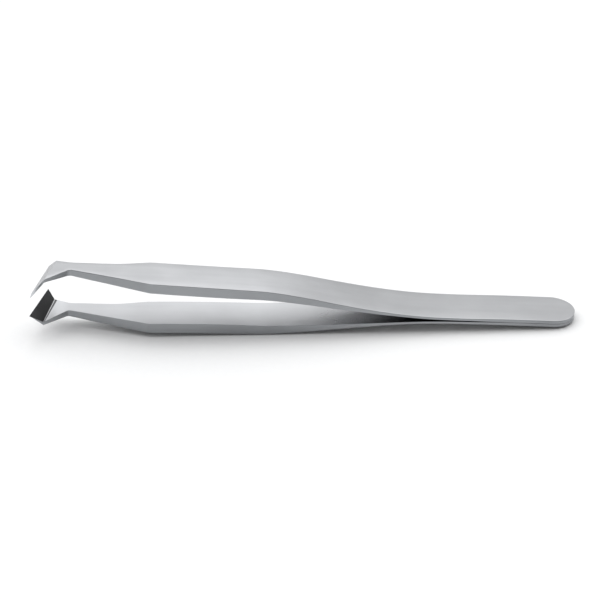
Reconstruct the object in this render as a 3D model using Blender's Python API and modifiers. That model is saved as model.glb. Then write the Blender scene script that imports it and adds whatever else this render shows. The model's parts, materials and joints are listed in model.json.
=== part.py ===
"""Oblique-head cutting tweezers: two one-piece steel arms, spot welded together at the tail.

Lengths in the constants are millimetres. Along the length, "s" is the distance from the tail end.
The tweezers are modelled about their own middle plane (X along the length, tips at -X, Z across the
gap), and are then laid down as they rest on a table: on the tail end and on the belly of the lower arm.
"""

import math

import bmesh
import bpy
import numpy as np
from mathutils import Matrix, Vector

MM = 0.001

# Overall sizes
LENGTH = 115.0  # tail end to the near corner of the cutting edges
TAIL_WIDTH = 9.8  # across the welded tail, which ends in a half circle
GRIP_WIDTH = 8.9  # across the shoulder, where the grip ends and the taper starts

# Places in the tail, as s
WELD_END = 12.6  # the arms part here
FLEXURE = 28.4  # the point that an arm turns about when it is squeezed

# Lengths counted back from the tips: the spring leaf takes up what they leave of the overall length
HEAD_LENGTH = 8.0
TAPER_LENGTH = 16.8
GRIP_LENGTH = 22.2
NECK = LENGTH - HEAD_LENGTH
SHOULDER = NECK - TAPER_LENGTH
GRIP_START = SHOULDER - GRIP_LENGTH

# Heights above the middle plane, and thicknesses
TAIL_THICK = 0.81
LEAF_THICK = 0.65  # the spring leaf, the thinnest part
GRIP_START_HEIGHT = 5.35
SHOULDER_HEIGHT = 6.02
SHOULDER_THICK = 2.30
GRIP_THICK = 2.36  # the thickest part, at mid grip
NECK_HEIGHT = 5.76
NECK_THICK = 1.50

# Plan outline in front of the shoulder, as distances from the centre line (the far side is +Y)
NECK_NEAR = 0.75  # the near edge passes the centre line before it turns out to the head
WAIST_FAR = 3.45
NECK_FAR = 3.75

# Head: a plate folded down along an oblique line, then ground to the cutting edge
JAW_GAP = 4.2  # between the near corners of the two cutting edges at rest
EDGE_NEAR = -5.65  # Y of the near and far ends of the cutting edge
EDGE_FAR = 5.40
EDGE_SETBACK = 3.57  # how far the far end lies behind the near end
BEND_NEAR = (LENGTH - 2.90, -3.40)  # (s, Y) of the two ends of the bend line
BEND_FAR = (LENGTH - 5.10, 4.40)
BEND_HEIGHT = 5.60
LAND_NEAR = 0.80  # height of the ground land above the cutting edge, at its two ends
LAND_FAR = 1.55
LAND_CORNER = 1.10  # how far the corner bevel cuts back the near end of the land
ROOT_NEAR = (LENGTH - 2.85, -3.42, 4.80)  # (s, Y, height) where the inner ground face meets the arm
ROOT_FAR = (LENGTH - 4.98, 4.62, 4.05)

# Finish and joints
CHAMFER = 0.14  # along the outer edges
WELD_SPOTS = (4.6, 9.6)  # s of the two spot welds
WELD_DIAMETER = 3.6
WELD_HEIGHT = 0.70
WELD_CLEARANCE = 0.02
SEAM = 0.02  # between the two tails
FLEXURE_GAP = 0.05  # between a tail and the moving arm in front of it

STEEL = (0.60, 0.61, 0.62)
WELD_STEEL = (0.42, 0.42, 0.44)


def smooth(stations, s):
    """The value at s of a smooth curve through the (s, value) stations, straight beyond its ends."""
    x, y = np.array(stations, float).T
    slope = np.diff(y) / np.diff(x)
    tangent = np.concatenate([slope[:1], (slope[1:] + slope[:-1]) / 2, slope[-1:]])
    tangent[1:-1] = np.where(slope[1:] * slope[:-1] > 0, tangent[1:-1], 0.0)
    i = int(np.clip(np.searchsorted(x, s) - 1, 0, len(x) - 2))
    width = x[i + 1] - x[i]
    t = (s - x[i]) / width
    if not 0 <= t <= 1:
        end = -1 if t > 1 else 0
        return y[end] + tangent[end] * (s - x[end])
    return (
        y[i] * (1 + 2 * t) * (1 - t) ** 2
        + y[i + 1] * t * t * (3 - 2 * t)
        + width * (tangent[i] * t * (1 - t) ** 2 - tangent[i + 1] * t * t * (1 - t))
    )


def leaf(share):
    """The place at this share of the way from the weld's end to the grip."""
    return WELD_END + share * (GRIP_START - WELD_END)


def grip(share):
    return GRIP_START + share * GRIP_LENGTH


def taper(share):
    return SHOULDER + share * TAPER_LENGTH


def outer_height(s):
    return smooth(
        (
            (0.0, TAIL_THICK),
            (WELD_END, TAIL_THICK),
            (leaf(0.2058), TAIL_THICK - 0.07),
            (leaf(0.3863), 0.19 * GRIP_START_HEIGHT),
            (leaf(0.5307), 0.34 * GRIP_START_HEIGHT),
            (leaf(0.6751), 0.56 * GRIP_START_HEIGHT),
            (leaf(0.8195), 0.80 * GRIP_START_HEIGHT),
            (GRIP_START - 2.0, GRIP_START_HEIGHT - 0.10),
            (GRIP_START, GRIP_START_HEIGHT),
            (GRIP_START + 4.0, GRIP_START_HEIGHT + 4.0 * grip_slope()),
            (SHOULDER - 4.0, SHOULDER_HEIGHT - 4.0 * grip_slope()),
            (SHOULDER, SHOULDER_HEIGHT),
            (taper(0.4643), SHOULDER_HEIGHT - 0.05),
            (NECK, NECK_HEIGHT),
            (BEND_NEAR[0], BEND_HEIGHT),
        ),
        s,
    )


def grip_slope():
    return (SHOULDER_HEIGHT - GRIP_START_HEIGHT) / (SHOULDER - GRIP_START)


def thickness(s):
    return smooth(
        (
            (0.0, TAIL_THICK),
            (WELD_END, TAIL_THICK),
            (leaf(0.2058), LEAF_THICK + 0.02),
            (leaf(0.3863), LEAF_THICK),
            (leaf(0.5307), LEAF_THICK + 0.15),
            (leaf(0.6751), LEAF_THICK + 0.55),
            (leaf(0.8195), GRIP_THICK - 0.64),
            (GRIP_START - 2.0, GRIP_THICK - 0.24),
            (grip(0.2703), GRIP_THICK - 0.04),
            (grip(0.6306), GRIP_THICK),
            (SHOULDER, SHOULDER_THICK),
            (taper(0.4643), SHOULDER_THICK - 0.30),
            (NECK, NECK_THICK),
            (BEND_NEAR[0], NECK_THICK - 0.40),
        ),
        s,
    )


def half_width(s):
    """Half the width of the tail and grip, the same on both sides."""
    if s < TAIL_WIDTH / 2:
        return math.sqrt(max(s * (TAIL_WIDTH - s), 0.0))
    wide, narrow = TAIL_WIDTH / 2, GRIP_WIDTH / 2
    return smooth(
        (
            (wide, wide),
            (leaf(0.5307), wide - 0.01),
            (leaf(0.8195), wide - 0.40 * (wide - narrow)),
            (grip(0.2703), wide - 0.82 * (wide - narrow)),
            (SHOULDER, narrow),
        ),
        s,
    )


def near_y(s):
    if s <= SHOULDER:
        return -half_width(s)
    along = (s - SHOULDER) / (NECK - SHOULDER)
    return (1 - along) * -half_width(SHOULDER) + along * NECK_NEAR


def far_y(s):
    if s <= SHOULDER:
        return half_width(s)
    return smooth(
        (
            (SHOULDER, half_width(SHOULDER)),
            (taper(0.4643), WAIST_FAR),
            (taper(0.8214), (WAIST_FAR + NECK_FAR) / 2),
            (NECK, NECK_FAR),
            (BEND_FAR[0], BEND_FAR[1]),
        ),
        s,
    )


def section(s):
    """The upper arm's corners at s, as (s, Y, height): near outer, near inner, far inner, far outer."""
    high = outer_height(s)
    low = max(high - thickness(s), SEAM / 2)
    near, far = near_y(s), far_y(s)
    return [(s, near, high), (s, near, low), (s, far, low), (s, far, high)]


def head_sections():
    """The bend line, and the ends of the land: two oblique sections that finish the upper arm."""
    near_tip, far_tip = LENGTH, LENGTH - EDGE_SETBACK
    edge = JAW_GAP / 2
    far_edge = edge * (far_tip - FLEXURE) / (near_tip - FLEXURE)  # the edges meet along their whole length
    back = EDGE_SETBACK / (EDGE_FAR - EDGE_NEAR)
    bend = [(*BEND_NEAR, BEND_HEIGHT), ROOT_NEAR, ROOT_FAR, (*BEND_FAR, BEND_HEIGHT)]
    land = [
        (near_tip - LAND_CORNER * back, EDGE_NEAR + LAND_CORNER, edge + LAND_NEAR),
        (near_tip, EDGE_NEAR, edge),
        (far_tip, EDGE_FAR, far_edge),
        (far_tip, EDGE_FAR, far_edge + LAND_FAR),
    ]
    return [bend, land]


def stations(start, end, step):
    return list(np.linspace(start, end, max(2, round((end - start) / step) + 1)))


def collection(name):
    made = bpy.data.collections.new(name)
    bpy.context.scene.collection.children.link(made)
    return made


def material(name, colour, metallic, roughness):
    made = bpy.data.materials.new(name)
    made.use_nodes = True
    shader = made.node_tree.nodes["Principled BSDF"]
    shader.inputs["Base Color"].default_value = (*colour, 1.0)
    shader.inputs["Metallic"].default_value = metallic
    shader.inputs["Roughness"].default_value = roughness
    return made


def finish(obj, pivot, parent, group, colour, roughness):
    """Moves the object's origin to the pivot, in the middle plane's frame, and gives it its material."""
    obj.data.transform(Matrix.Translation(-Vector(pivot)))
    obj.parent = parent
    obj.location = pivot
    obj.data.materials.append(material(obj.name, colour, 1.0, roughness))
    group.objects.link(obj)
    return obj


def loft(name, sections, side):
    """One closed body through the sections. Side is +1 for the upper arm and -1 for its mirror image."""
    mesh = bmesh.new()
    rings = [
        [mesh.verts.new((MM * (LENGTH / 2 - s), MM * y, MM * side * z)) for s, y, z in ring]
        for ring in sections
    ]
    weight = mesh.edges.layers.float.new("bevel_weight_edge")
    for ring, after in zip(rings, rings[1:]):
        for i in range(4):
            j = (i + 1) % 4
            mesh.faces.new((ring[i], ring[j], after[j], after[i]))
        for i in (0, 3):
            mesh.edges.get((ring[i], after[i]))[weight] = 1.0
    mesh.faces.new(rings[0][::-1])
    mesh.faces.new(rings[-1])
    bmesh.ops.remove_doubles(mesh, verts=mesh.verts, dist=1e-3 * MM)
    bmesh.ops.recalc_face_normals(mesh, faces=mesh.faces)
    made = bpy.data.meshes.new(name)
    mesh.to_mesh(made)
    mesh.free()
    return bpy.data.objects.new(name, made)


def chamfer(obj):
    bevel = obj.modifiers.new("chamfer", "BEVEL")
    bevel.limit_method = "WEIGHT"
    bevel.width = CHAMFER * MM
    bevel.segments = 1


def lens(name, s, grow):
    """A spot weld's lens of fused steel across the seam, or with grow more than 0 the pocket it sits in."""
    mesh = bmesh.new()
    bmesh.ops.create_uvsphere(mesh, u_segments=32, v_segments=16, radius=1.0)
    across = MM * (WELD_DIAMETER / 2 + grow)
    scale = Matrix.Diagonal((across, across, MM * (WELD_HEIGHT / 2 + grow), 1.0))
    place = Matrix.Translation((MM * (LENGTH / 2 - s), 0.0, 0.0))
    bmesh.ops.transform(mesh, matrix=place @ scale, verts=mesh.verts)
    made = bpy.data.meshes.new(name)
    mesh.to_mesh(made)
    mesh.free()
    return bpy.data.objects.new(name, made)


def cut(obj, cutter):
    boolean = obj.modifiers.new(cutter.name, "BOOLEAN")
    boolean.operation = "DIFFERENCE"
    boolean.solver = "EXACT"
    boolean.object = cutter


def main():
    for obj in list(bpy.data.objects):
        bpy.data.objects.remove(obj, do_unlink=True)
    parts = collection("cutting_tweezers")
    cutters = collection("cutters")
    rest = bpy.data.objects.new("rest_pose", None)
    parts.objects.link(rest)

    arc = [TAIL_WIDTH / 2 * (1 - math.cos(math.radians(a))) for a in range(0, 90, 6)]
    tail = arc + stations(TAIL_WIDTH / 2, FLEXURE - FLEXURE_GAP / 2, 2.0)
    arm = stations(FLEXURE + FLEXURE_GAP / 2, GRIP_START, 1.6)
    arm += stations(GRIP_START, SHOULDER, 3.2)[1:] + stations(SHOULDER, NECK, 1.6)[1:]
    leaf_height = (outer_height(FLEXURE) - thickness(FLEXURE) / 2) * MM
    flexure_x = (LENGTH / 2 - FLEXURE) * MM

    pockets = []
    for place, s in zip(("rear", "front"), WELD_SPOTS):
        pocket = lens(f"pocket_{place}", s, WELD_CLEARANCE)
        pocket.parent = rest
        pocket.hide_render = True
        pocket.display_type = "WIRE"
        cutters.objects.link(pocket)
        pockets.append(pocket)
        weld = lens(f"spot_weld_{place}", s, 0.0)
        finish(weld, ((LENGTH / 2 - s) * MM, 0, 0), rest, parts, WELD_STEEL, 0.55)

    for name, side in (("upper", 1), ("lower", -1)):
        tang = loft(f"{name}_tang", [section(s) for s in tail], side)
        chamfer(tang)
        for pocket in pockets:
            cut(tang, pocket)
        finish(tang, (flexure_x, 0, 0), rest, parts, STEEL, 0.34)
        moving = loft(f"{name}_arm", [section(s) for s in arm] + head_sections(), side)
        chamfer(moving)
        finish(moving, (flexure_x, 0, side * leaf_height), rest, parts, STEEL, 0.34)

    # Laid on the table: the tail end and the highest-standing line of the lower arm's belly touch it
    pitch = max(
        math.atan2(outer_height(s) - TAIL_THICK, s) for s in stations(GRIP_START - 18.0, SHOULDER, 0.5)
    )
    rest.matrix_world = Matrix.Rotation(pitch, 4, "Y")
    bpy.context.view_layer.update()
    graph = bpy.context.evaluated_depsgraph_get()
    corners = []
    for obj in parts.objects:
        if obj.type == "MESH":
            shape = obj.evaluated_get(graph)
            corners += [shape.matrix_world @ v.co for v in shape.to_mesh().vertices]
            shape.to_mesh_clear()
    low = Vector(min(c[i] for c in corners) for i in range(3))
    high = Vector(max(c[i] for c in corners) for i in range(3))
    middle = (low + high) / 2
    rest.location = (-middle.x, -middle.y, -low.z)


main()
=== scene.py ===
"""Looks of the oblique-head cutting tweezers: two brushed, one-piece arms, floor, studio light and camera."""

import json
import math

import bmesh
import bpy
import numpy as np
from mathutils import Matrix, Vector


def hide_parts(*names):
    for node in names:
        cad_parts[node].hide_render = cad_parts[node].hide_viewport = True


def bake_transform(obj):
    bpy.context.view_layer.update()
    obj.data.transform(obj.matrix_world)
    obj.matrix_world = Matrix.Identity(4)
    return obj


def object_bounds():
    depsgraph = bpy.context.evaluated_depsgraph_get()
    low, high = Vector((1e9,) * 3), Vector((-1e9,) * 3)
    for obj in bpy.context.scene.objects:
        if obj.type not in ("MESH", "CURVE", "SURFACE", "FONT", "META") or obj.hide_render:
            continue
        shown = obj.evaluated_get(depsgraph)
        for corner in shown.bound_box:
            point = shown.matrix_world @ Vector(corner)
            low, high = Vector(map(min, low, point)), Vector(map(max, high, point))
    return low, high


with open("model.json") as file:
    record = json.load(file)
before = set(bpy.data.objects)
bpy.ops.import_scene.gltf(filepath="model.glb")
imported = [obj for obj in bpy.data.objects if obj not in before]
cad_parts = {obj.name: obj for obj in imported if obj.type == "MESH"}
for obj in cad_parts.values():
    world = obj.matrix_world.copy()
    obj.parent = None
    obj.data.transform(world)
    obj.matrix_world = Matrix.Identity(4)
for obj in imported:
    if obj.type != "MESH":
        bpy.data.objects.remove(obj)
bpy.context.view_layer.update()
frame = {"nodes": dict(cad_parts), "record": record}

MM = 0.001

# ---------------------------------------------------------------- sizes, in mm, as the CAD has them
LENGTH = 115.0
TAIL_WIDTH = 9.8
GRIP_WIDTH = 8.9
WELD_END = 12.6
FLEXURE = 28.4
HEAD_LENGTH = 8.0
TAPER_LENGTH = 16.8
GRIP_LENGTH = 22.2
NECK = LENGTH - HEAD_LENGTH
SHOULDER = NECK - TAPER_LENGTH
GRIP_START = SHOULDER - GRIP_LENGTH
TAIL_THICK = 0.81
LEAF_THICK = 0.65
GRIP_START_HEIGHT = 5.35
SHOULDER_HEIGHT = 6.02
SHOULDER_THICK = 2.30
GRIP_THICK = 2.36
NECK_HEIGHT = 5.76
NECK_THICK = 1.50
NECK_NEAR = 0.75
WAIST_FAR = 3.45
NECK_FAR = 3.75
JAW_GAP = 4.2
EDGE_NEAR = -5.65
EDGE_FAR = 5.40
EDGE_SETBACK = 3.57
BEND_NEAR = (LENGTH - 2.90, -3.40)
BEND_FAR = (LENGTH - 5.10, 4.40)
BEND_HEIGHT = 5.60
LAND_NEAR = 0.80
LAND_FAR = 1.55
LAND_CORNER = 1.10
ROOT_NEAR = (LENGTH - 2.85, -3.42, 4.80)
ROOT_FAR = (LENGTH - 4.98, 4.62, 4.05)
SEAM = 0.02

# Finish of the visible skins, in mm
RIM_FACE = 0.24  # how far an outer edge's rounding reaches onto the face
RIM_SIDE = 0.24  # and onto the side
BURR = 0.06  # reach of an inner edge's rounding, both ways
CROWN = 0.015  # how far the outer face falls away at its edges
LIFT = 0.001  # keeps rounding errors above the table
ROW_STEP = 0.8  # from one row of points to the next along an arm
SHOULDER_TURN = 0.2  # half the length over which the shoulder's corner turns
NECK_TURN = 0.62  # where the turn at the neck begins, before the neck
TAPER_FIRST = 1.1  # the taper's first plain row, after the shoulder
TAPER_LAST = 0.7  # and the end of its plain rows, before the neck
NICK = 0.09  # depth of the small nick at the lower arm's shoulder
STRIP_DEPTH = 0.05  # how deep the ground strip is cut into the head's inside
DROOP_END = 62.0  # from here on the two arms mirror each other
SHARP_ANGLE = math.radians(22)  # faces that meet at more than this show an edge

# Shares, near and far
STRIP = np.array([[0.065], [0.19]])  # how much of the head's inside the ground strip takes
LINE = np.array([[0.36], [0.22]])  # where the bright line starts on that strip

FACE, RIM, SIDE, INNER, GROUND, LAND = range(6)  # material slots


def smooth(stations, s):
    """The value at s of the smooth curve through the (place, value) stations."""
    x, y = np.array(stations, float).T
    slope = np.diff(y) / np.diff(x)
    tangent = np.concatenate([slope[:1], (slope[1:] + slope[:-1]) / 2, slope[-1:]])
    tangent[1:-1] = np.where(slope[1:] * slope[:-1] > 0, tangent[1:-1], 0.0)
    i = int(np.clip(np.searchsorted(x, s) - 1, 0, len(x) - 2))
    width = x[i + 1] - x[i]
    t = (s - x[i]) / width
    if not 0 <= t <= 1:
        end = -1 if t > 1 else 0
        return y[end] + tangent[end] * (s - x[end])
    return (
        y[i] * (1 + 2 * t) * (1 - t) ** 2
        + y[i + 1] * t * t * (3 - 2 * t)
        + width * (tangent[i] * t * (1 - t) ** 2 - tangent[i + 1] * t * t * (1 - t))
    )


GRIP_SLOPE = (SHOULDER_HEIGHT - GRIP_START_HEIGHT) / GRIP_LENGTH


def leaf(share):
    """The place at this share of the way from the weld's end to the grip."""
    return WELD_END + share * (GRIP_START - WELD_END)


def grip(share):
    """The place at this share of the way along the grip, to the shoulder."""
    return GRIP_START + share * GRIP_LENGTH


def taper(share):
    """The place at this share of the way from the shoulder to the neck."""
    return SHOULDER + share * TAPER_LENGTH


def outer_height(s):
    """Height of the outer face over the middle plane."""
    start, top = GRIP_START_HEIGHT, SHOULDER_HEIGHT
    return smooth(
        (
            (0.0, TAIL_THICK),
            (WELD_END, TAIL_THICK),
            (leaf(0.2058), TAIL_THICK - 0.07),
            (leaf(0.3863), 0.19 * start),
            (leaf(0.5307), 0.34 * start),
            (leaf(0.6751), 0.56 * start),
            (leaf(0.8195), 0.80 * start),
            (GRIP_START - 2.0, start - 0.10),
            (GRIP_START, start),
            (GRIP_START + 4.0, start + 4.0 * GRIP_SLOPE),
            (SHOULDER - 4.0, top - 4.0 * GRIP_SLOPE),
            (SHOULDER, top),
            (taper(0.4643), top - 0.05),
            (NECK, NECK_HEIGHT),
            (BEND_NEAR[0], BEND_HEIGHT),
        ),
        s,
    )


def thickness(s):
    """Thickness of the strip. The spring leaf is up to 0.06 mm thinner here than in the CAD."""
    return smooth(
        (
            (0.0, TAIL_THICK),
            (WELD_END, TAIL_THICK),
            (leaf(0.2058), LEAF_THICK - 0.04),
            (leaf(0.3863), LEAF_THICK - 0.05),
            (leaf(0.5307), LEAF_THICK + 0.12),
            (leaf(0.6751), LEAF_THICK + 0.55),
            (leaf(0.8195), GRIP_THICK - 0.64),
            (GRIP_START - 2.0, GRIP_THICK - 0.24),
            (grip(0.2703), GRIP_THICK - 0.04),
            (grip(0.6306), GRIP_THICK),
            (SHOULDER, SHOULDER_THICK),
            (taper(0.4643), SHOULDER_THICK - 0.30),
            (NECK, NECK_THICK),
            (BEND_NEAR[0], NECK_THICK - 0.40),
        ),
        s,
    )


def half_width(s):
    if s < TAIL_WIDTH / 2:
        return math.sqrt(max(s * (TAIL_WIDTH - s), 0.0))
    wide, narrow = TAIL_WIDTH / 2, GRIP_WIDTH / 2
    return smooth(
        (
            (wide, wide),
            (leaf(0.5307), wide - 0.01),
            (leaf(0.8195), wide - 0.40 * (wide - narrow)),
            (grip(0.2703), wide - 0.82 * (wide - narrow)),
            (SHOULDER, narrow),
        ),
        s,
    )


def near_y(s):
    if s <= SHOULDER:
        return -half_width(s)
    along = (s - SHOULDER) / (NECK - SHOULDER)
    return (1 - along) * -half_width(SHOULDER) + along * NECK_NEAR


def far_y(s):
    if s <= SHOULDER:
        return half_width(s)
    return smooth(
        (
            (SHOULDER, half_width(SHOULDER)),
            (taper(0.4643), WAIST_FAR),
            (taper(0.8214), (WAIST_FAR + NECK_FAR) / 2),
            (NECK, NECK_FAR),
            (BEND_FAR[0], BEND_FAR[1]),
        ),
        s,
    )


def section(s):
    """Corners at s: near outer, near inner, far inner, far outer, each as (s, Y, height)."""
    high = outer_height(s)
    low = max(high - thickness(s), SEAM / 2)
    near, far = near_y(s), far_y(s)
    return [(s, near, high), (s, near, low), (s, far, low), (s, far, high)]


def head_sections():
    """The corners of the bend and of the cutting edge, in the order of section()."""
    near_tip, far_tip = LENGTH, LENGTH - EDGE_SETBACK
    edge = JAW_GAP / 2
    far_edge = edge * (far_tip - FLEXURE) / (near_tip - FLEXURE)
    back = EDGE_SETBACK / (EDGE_FAR - EDGE_NEAR)
    bend = [(*BEND_NEAR, BEND_HEIGHT), ROOT_NEAR, ROOT_FAR, (*BEND_FAR, BEND_HEIGHT)]
    land = [
        (near_tip - LAND_CORNER * back, EDGE_NEAR + LAND_CORNER, edge + LAND_NEAR),
        (near_tip, EDGE_NEAR, edge),
        (far_tip, EDGE_FAR, far_edge),
        (far_tip, EDGE_FAR, far_edge + LAND_FAR),
    ]
    return bend, land


def link(obj):
    bpy.context.scene.collection.objects.link(obj)
    return obj


# ---------------------------------------------------------------- arms
joints = {j["name"]: j for j in frame["record"]["behaviour"]["joints"]}
pivot_high = Vector(joints["upper_squeeze"]["pos_m"])
pivot_low = Vector(joints["lower_squeeze"]["pos_m"])
up = (pivot_high - pivot_low).normalized()
along = Vector((0.0, 1.0, 0.0)).cross(up)  # towards the tail
# From distances along `along`, Y and `up`, from midway between the pivots, to the frame's own axes
PLACE = Matrix.Translation((pivot_high + pivot_low) / 2) @ Matrix(
    [[along[i], (0, 1, 0)[i], up[i], 0.0] for i in range(3)] + [[0, 0, 0, 1]]
)


def droop(s):
    """How far both arms of this pair lie below the middle plane, where they leave the tail."""
    if s >= DROOP_END:
        return 0.0
    return smooth(
        (
            (0.0, 0.0),
            (12.0, 0.0),
            (24.0, 0.09),
            (34.0, 0.19),
            (42.0, 0.22),
            (49.0, 0.19),
            (DROOP_END, 0.0),
        ),
        s,
    )


def at(s, y, z):
    """The place in metres of a point given in mm."""
    return PLACE @ Vector(((FLEXURE - s) * MM, y * MM, (z - droop(s) + LIFT) * MM))


def corner(before, p, after, reach_before, reach_after, steps):
    """Points of a rounded corner, from the side of `before` to the side of `after`."""
    before, p, after = (np.array(v, float) for v in (before, p, after))

    def reached(other, reach):
        d = other - p
        length = np.linalg.norm(d)
        return p + d / length * min(reach, 0.4 * length) if length > 1e-9 else p

    a, c = reached(before, reach_before), reached(after, reach_after)
    times = np.linspace(0, 1, steps)
    return [(1 - t) ** 2 * a + 2 * t * (1 - t) * p + t * t * c for t in times]


def ring(corners, size=1.0, crown=1.0):
    """The closed outline of a section, with its outer edges rounded and its outer face slightly crowned.

    Its 17 points: near outer edge 0-4, near inner 5-6, far inner 7-8, far outer 9-13, outer face 14-16.
    """
    no, ni, fi, fo = corners
    face, side, burr = RIM_FACE * size, RIM_SIDE * size, BURR * min(1, size)
    points = corner(fo, no, ni, face, side, 5)
    points += corner(no, ni, fi, burr, burr, 2)
    points += corner(ni, fi, fo, burr, burr, 2)
    points += corner(fi, fo, no, side, face, 5)
    points += [points[13] * (1 - t) + points[0] * t for t in (0.25, 0.5, 0.75)]
    up_face = np.array(no, float) - np.array(ni, float)
    up_face[1] = 0
    length = np.linalg.norm(up_face)
    if length > 1e-9:
        fall = CROWN * crown * size * up_face / length
        for i in (*range(0, 5), *range(9, 14)):
            points[i] = points[i] - fall
        for i in (14, 16):
            points[i] = points[i] - fall * 0.25
    return points


# Each face runs from one point of the outline to the next. The material of each, by its first point:
FACE_OF = [RIM] * 2 + [SIDE] * 4 + [INNER] + [SIDE] * 4 + [RIM] * 2 + [FACE] * 4
INSIDE = FACE_OF.index(INNER)
UPRIGHT = (4, 5, 7, 8)  # the flat sides and the inner edges beside them
NICKED = (3, 4)  # points of the near outer edge that the nick moves in


def soften(before, middle, after, steps=5):
    """Rows that turn smoothly at `middle` instead of meeting there in an edge."""
    times = np.linspace(0, 1, steps)
    before, middle, after = (np.array(r, float) for r in (before, middle, after))
    return [(1 - t) ** 2 * before + 2 * t * (1 - t) * middle + t * t * after for t in times]


def arm_rows():
    """Rows of (corners, rounding, crown, material inside) from the tail end to the cutting edge."""
    arc = [TAIL_WIDTH / 2 * (1 - math.cos(math.radians(a))) for a in (2, *range(5, 88, 3))]
    rows = [(section(s), 0.3 + 0.7 * min(1, s / 2), min(1, s / 3), INNER) for s in arc]
    plain = np.arange(TAIL_WIDTH / 2, SHOULDER - ROW_STEP, ROW_STEP)
    rows += [(section(s), 1, 1, INNER) for s in plain]
    shoulder = (SHOULDER - SHOULDER_TURN, SHOULDER, SHOULDER + SHOULDER_TURN)
    rows += [(row, 1, 1, INNER) for row in soften(*(section(s) for s in shoulder))]
    plain = np.arange(SHOULDER + TAPER_FIRST, NECK - TAPER_LAST, ROW_STEP)
    rows += [(section(s), 1, 1, INNER) for s in plain]

    bend, land = (np.array(r, float) for r in head_sections())
    neck = np.array(section(NECK))

    def to_bend(t):
        return neck * (1 - t) + bend * t

    def to_land(t):
        return bend * (1 - t) + land * t

    rows += [(row, 1, 1, INNER) for row in soften(section(NECK - NECK_TURN), neck, to_bend(0.10), 7)]
    rows += [(to_bend(t), 0.85 - 0.4 * t, 1 - 0.6 * t, INNER) for t in (0.25, 0.40, 0.52, 0.62)]

    # The outside turns down at a crisp bend. Inside, a shallow ground strip leads to the ground face. It is
    # wider at the far end than at the near one, and it ends in a bright line of plain rim steel. The strip
    # and the ground face are painted near black, a painted dark reflection.
    root = bend[1:3]
    start = to_bend(0.62)[1:3]
    strip = root + (neck[1:3] - root) * STRIP
    strip[:, 2] += STRIP_DEPTH
    line = root + (strip - root) * LINE
    inside = [start * (1 - u) + strip * u for u in (0.3, 0.55, 0.8, 0.93)]
    inside += [strip, line, root] + [to_land(t)[1:3] for t in (0.03, 0.10, 0.20)]
    kinds = [INNER] * 4 + [GROUND, RIM] + [GROUND] * 4
    turning = [to_bend(t) for t in (0.70, 0.77, 0.84, 0.90, 0.95, 0.98, 1.0)]
    turning += [to_land(t) for t in (0.03, 0.10, 0.20)]
    for t, row, low_edge, kind in zip(np.linspace(0, 1, len(inside)), turning, inside, kinds):
        row[1:3] = low_edge
        rows.append((row, 0.5 - 0.15 * t, 0.4 - 0.16 * t, kind))
    rows += [(to_land(t), 0.4 - 0.25 * t, 0.3 * (1 - t), GROUND) for t in (0.4, 0.6, 0.8, 0.94)]
    rows.append((land, 0.12, 0, LAND))
    return rows


def build_arm(name, side, nick=0.0):
    """One arm's skin, from tail to edge. side is 1 for the upper arm and -1 for the lower."""
    rows = arm_rows()
    mesh = bmesh.new()
    uv = mesh.loops.layers.uv.new("grain")
    rings, outlines = [], []
    for corners, size, crown, _ in rows:
        outline = ring(corners, size, crown)
        if nick and abs(corners[0][0] - SHOULDER) < SHOULDER_TURN / 4:
            for i in NICKED:
                outline[i] = outline[i] + np.array((0, nick, 0))
        outlines.append(outline)
        rings.append([mesh.verts.new(at(s, y, side * z)) for s, y, z in outline])
    count = len(rings[0])
    for k in range(len(rings) - 1):
        for i in range(count):
            j = (i + 1) % count
            ends = ((k, i), (k, j), (k + 1, j), (k + 1, i))
            face = mesh.faces.new([rings[a][b] for a, b in ends])
            face.material_index = rows[k][3] if i == INSIDE else FACE_OF[i]
            face.smooth = True
            # One UV unit is 10 mm. v follows the width on the faces, the height on the sides and the
            # points of the outline on the rims, each in its own band
            for loop, (a, b) in zip(face.loops, ends):
                s, y, z = outlines[a][b]
                if FACE_OF[i] in (FACE, INNER):
                    loop[uv].uv = (s / 10, y / 10)
                elif i in UPRIGHT:
                    loop[uv].uv = (s / 10, 2 + z / 10)
                else:
                    loop[uv].uv = (s / 10, 4 + b / 50)
    mesh.faces.new(rings[0][::-1]).material_index = SIDE
    mesh.faces.new(rings[-1]).material_index = LAND
    bmesh.ops.recalc_face_normals(mesh, faces=mesh.faces)
    made = bpy.data.meshes.new(name)
    mesh.to_mesh(made)
    mesh.free()
    obj = link(bpy.data.objects.new(name, made))
    made.set_sharp_from_angle(angle=SHARP_ANGLE)
    # Inside, the edges of the ground strip and its bright line stay crisp
    creases = {k for k, row in enumerate(rows) if row[3] in (GROUND, RIM) and rows[k - 1][3] != row[3]}
    for edge in made.edges:
        (a, i), (b, j) = (divmod(v, count) for v in edge.vertices)
        if a == b and a in creases and {i, j} <= {INSIDE, INSIDE + 1}:
            edge.use_edge_sharp = True
    return obj


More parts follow.
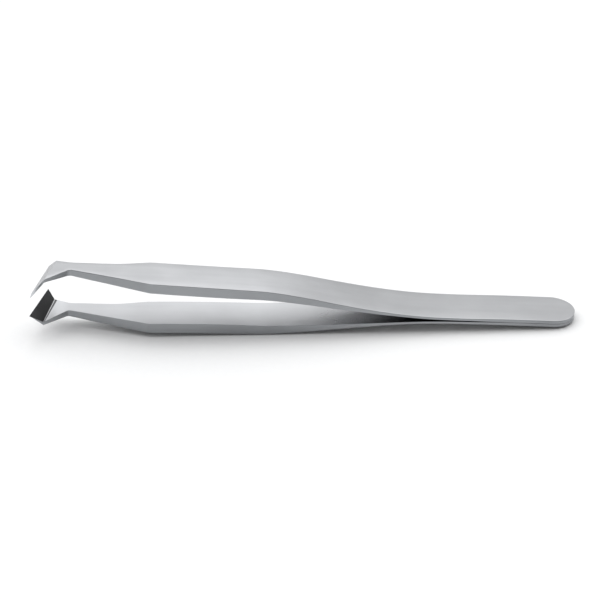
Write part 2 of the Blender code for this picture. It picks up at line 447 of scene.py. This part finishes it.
# ---------------------------------------------------------------- materials
class Nodes:
    """A short way to write the nodes of a material or of the world."""

    def __init__(self, owner):
        owner.use_nodes = True
        self.owner = owner
        self.tree = owner.node_tree
        self.shader = self.tree.nodes.get("Principled BSDF")

    def add(self, kind, inputs=None, **settings):
        node = self.tree.nodes.new(kind)
        for key, value in settings.items():
            setattr(node, key, value)
        for key, value in (inputs or {}).items():
            if isinstance(value, bpy.types.NodeSocket):
                self.tree.links.new(value, node.inputs[key])
            else:
                node.inputs[key].default_value = value
        return node

    def link(self, socket, name):
        self.tree.links.new(socket, self.shader.inputs[name])

    def grain(self, where, stretch, scale, detail, turn):
        """Noise drawn out along one direction, like the marks of a belt or a wheel."""
        place = self.add(
            "ShaderNodeMapping", {"Vector": where, "Scale": stretch, "Rotation": (0, 0, turn)}
        )
        return self.add(
            "ShaderNodeTexNoise",
            {"Vector": place.outputs[0], "Scale": scale, "Detail": detail, "Roughness": 0.6},
        ).outputs["Fac"]

    def spread(self, value, low, high, start=0.3, end=0.7):
        """The noise value from start to end, spread over low to high."""
        return self.add(
            "ShaderNodeMapRange",
            {"Value": value, "From Min": start, "From Max": end, "To Min": low, "To Max": high},
        ).outputs["Result"]


def steel(
    label,
    tone,
    tint,
    rough,
    grain_depth,
    stretch=(14, 900, 900),
    scale=1.0,
    turn=0.0,
    anisotropy=0.55,
    fade=None,
):
    """Metal with drawn-out grinding marks.

    tone and rough are the lowest and the highest value, and grain_depth is in mm. fade is where a change
    along X starts and ends, in mm, and the shares of tone and roughness that are left after it. The darkening
    of tone that it gives is painted shade.
    """
    n = Nodes(bpy.data.materials.new(label))
    where = n.add("ShaderNodeTexCoord").outputs["Object"]
    fine = n.grain(where, stretch, scale * 1.6, 3.0, turn)
    streak = n.grain(where, tuple(v * 0.35 for v in stretch), scale, 5.0, turn)
    cloud = n.add("ShaderNodeTexNoise", {"Vector": where, "Scale": 95.0, "Detail": 3.0}).outputs["Fac"]
    both = n.add("ShaderNodeMath", {0: streak, 1: cloud}, operation="ADD").outputs[0]
    half = n.add("ShaderNodeMath", {0: both, 1: 0.5}, operation="MULTIPLY").outputs[0]
    low, high = tone
    colour = n.add(
        "ShaderNodeMix",
        {
            "Factor": n.spread(half, 0.0, 1.0, 0.35, 0.65),
            6: (*[low * c for c in tint], 1.0),
            7: (*[high * c for c in tint], 1.0),
        },
        data_type="RGBA",
    ).outputs[2]
    roughness = n.spread(streak, rough[0], rough[1])
    if fade:
        x = n.add("ShaderNodeSeparateXYZ", {0: where}).outputs[0]
        tone_left, rough_left = (
            n.add(
                "ShaderNodeMapRange",
                {"Value": x, 1: fade[0] * MM, 2: fade[1] * MM, 3: 1.0, 4: left},
                interpolation_type="SMOOTHSTEP",
            ).outputs["Result"]
            for left in fade[2:]
        )
        colour = n.add(
            "ShaderNodeVectorMath", {0: colour, "Scale": tone_left}, operation="SCALE"
        ).outputs[0]
        roughness = n.add(
            "ShaderNodeMath", {0: roughness, 1: rough_left}, operation="MULTIPLY"
        ).outputs[0]
    n.link(colour, "Base Color")
    n.link(roughness, "Roughness")
    n.shader.inputs["Metallic"].default_value = 1.0
    n.shader.inputs["Anisotropic"].default_value = anisotropy
    n.shader.inputs["Anisotropic Rotation"].default_value = 0.25
    tangent = n.add("ShaderNodeTangent", direction_type="UV_MAP", uv_map="grain")
    n.link(tangent.outputs[0], "Tangent")
    bump = n.add(
        "ShaderNodeBump",
        {"Height": fine, "Strength": 1.0, "Distance": grain_depth * MM},
    )
    n.link(bump.outputs[0], "Normal")
    return n.owner


COOL = (0.985, 0.995, 1.02)
COOLER = (0.965, 0.995, 1.035)
WARM = (1.0, 0.97, 0.93)
# Painted shade: the outer face darkens to 0.8 of its tone towards the tail
PAINTED_SHADE_TO_TAIL = {"fade": (-16, 22, 0.80, 1.0)}
# Painted shade: the inside darkens to half its tone into the wedge between the arms near the weld, and its
# roughness falls to 0.6 of its value
PAINTED_SHADE_INTO_WEDGE = {"fade": (-8, 22, 0.50, 0.60)}
ACROSS = {"stretch": (900, 60, 60), "scale": 1.2, "turn": 0.31}
FINISHES = [  # in the order of the material slots
    steel("satin_face", (0.395, 0.475), COOL, (0.32, 0.40), 0.0010, **PAINTED_SHADE_TO_TAIL),
    steel("bright_rim", (0.40, 0.46), COOL, (0.26, 0.34), 0.0005),
    steel("satin_side", (0.33, 0.40), COOLER, (0.36, 0.46), 0.0010),
    steel("satin_inside", (0.46, 0.53), COOL, (0.30, 0.36), 0.0008, **PAINTED_SHADE_INTO_WEDGE),
    # Painted dark reflection: the ground faces and strip are painted near black in place of the dark
    # surroundings they reflect
    steel("ground_face_painted_dark", (0.045, 0.13), COOL, (0.24, 0.34), 0.0015, **ACROSS),
    steel("ground_land", (0.50, 0.58), COOL, (0.26, 0.34), 0.0010, **ACROSS),
]

for name, direction, nick in (("upper", 1, 0.0), ("lower", -1, NICK)):
    arm = build_arm(f"{name}_strip", direction, nick)
    for finish in FINISHES:
        arm.data.materials.append(finish)
    tuple(at(WELD_END, 0, 0))
    tuple(at(2 * FLEXURE - WELD_END, 0, 0))
    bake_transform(arm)
    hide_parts(f"{name}_arm", f"{name}_tang")

nugget = steel("weld_metal", (0.34, 0.44), WARM, (0.45, 0.6), 0.002, (260, 260, 260), anisotropy=0.0)
for name in ("spot_weld_rear", "spot_weld_front"):
    node = frame["nodes"][name]
    for slot in node.material_slots:
        slot.material = nugget

# ---------------------------------------------------------------- floor, light and camera
lowest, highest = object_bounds()
centre = (lowest + highest) / 2
FLOOR_HALF = 6.0  # m
FLOOR_GAP = 0.00018  # m, the room under the arm that holds its dark contact shadow

floor_mesh = bmesh.new()
bmesh.ops.create_grid(floor_mesh, x_segments=2, y_segments=2, size=FLOOR_HALF)
data = bpy.data.meshes.new("floor")
floor_mesh.to_mesh(data)
floor_mesh.free()
floor = link(bpy.data.objects.new("floor", data))
floor.location.z = lowest.z - FLOOR_GAP
paper = Nodes(bpy.data.materials.new("white_paper"))
spot = paper.add("ShaderNodeTexCoord").outputs["Object"]
tooth = paper.add(
    "ShaderNodeTexNoise", {"Vector": spot, "Scale": 900.0, "Detail": 2.0}
).outputs["Fac"]
shade = paper.add(
    "ShaderNodeMix",
    {"Factor": tooth, 6: (0.90, 0.90, 0.90, 1), 7: (0.93, 0.93, 0.93, 1)},
    data_type="RGBA",
)
paper.link(shade.outputs[2], "Base Color")
paper.shader.inputs["Roughness"].default_value = 0.9
paper.shader.inputs["Specular IOR Level"].default_value = 0.1
floor.data.materials.append(paper.owner)

# Soft panels in a dim room: overhead, at both sides and at the back, with a faint fill from the front
world = bpy.data.worlds.new("studio")
bpy.context.scene.world = world
ROOM = 0.05  # strength of the light from everywhere
LIGHTS = (  # elevation, direction round from the back, spread (all degrees), strength
    (80, 0, 24, 2.15),
    (45, -85, 26, 1.95),
    (36, -35, 22, 1.4),
    (52, 15, 24, 1.25),
    (38, 75, 24, 1.5),
    (22, 15, 20, 0.9),
    (8, -60, 15, 2.3),
    (40, 180, 32, 0.34),
)
sky = Nodes(world)


def maths(inputs, operation="MULTIPLY_ADD"):
    return sky.add("ShaderNodeMath", inputs, operation=operation).outputs[0]


# Each panel is exp(sharp * (cosine of the angle from its middle - 1)) * strength
look = sky.add("ShaderNodeTexCoord").outputs["Generated"]
total = ROOM
for elevation, bearing, width, strength in LIGHTS:
    rise, turned, reach = (math.radians(a) for a in (elevation, bearing, width))
    towards = (math.cos(rise) * math.sin(turned), math.cos(rise) * math.cos(turned), math.sin(rise))
    sharp = 1 / (1 - math.cos(reach))
    facing = sky.add(
        "ShaderNodeVectorMath", {0: look, 1: towards}, operation="DOT_PRODUCT"
    ).outputs["Value"]
    glow = maths({0: maths({0: facing, 1: sharp, 2: -sharp})}, "EXPONENT")
    total = maths({0: glow, 1: strength, 2: total})
background = sky.tree.nodes["Background"]
sky.tree.links.new(total, background.inputs["Strength"])
background.inputs["Color"].default_value = (0.99, 0.995, 1.0, 1)

bpy.context.scene.view_settings.view_transform = "Standard"

ELEVATION, AZIMUTH, ROLL = (math.radians(a) for a in (31.8, -3.3, 0.5))
DISTANCE = 0.523  # m
LENS = 149.1  # mm, on a sensor 36 mm wide
OFF_CENTRE = (-0.96, 0.12, -1.48)  # mm, from the box's centre to what the camera looks at
target = centre + Vector(OFF_CENTRE) * MM
view = Vector(
    (
        -math.sin(AZIMUTH) * math.cos(ELEVATION),
        math.cos(AZIMUTH) * math.cos(ELEVATION),
        -math.sin(ELEVATION),
    )
)
camera = link(bpy.data.objects.new("camera", bpy.data.cameras.new("camera")))
camera.location = target - view * DISTANCE
aim = view.to_track_quat("-Z", "Y").to_matrix().to_4x4()
camera.rotation_euler = (aim @ Matrix.Rotation(ROLL, 4, "Z")).to_euler()
camera.data.sensor_width = 36.0
camera.data.lens = LENS
camera.data.clip_start, camera.data.clip_end = 0.01, 50.0
bpy.context.scene.camera = camera
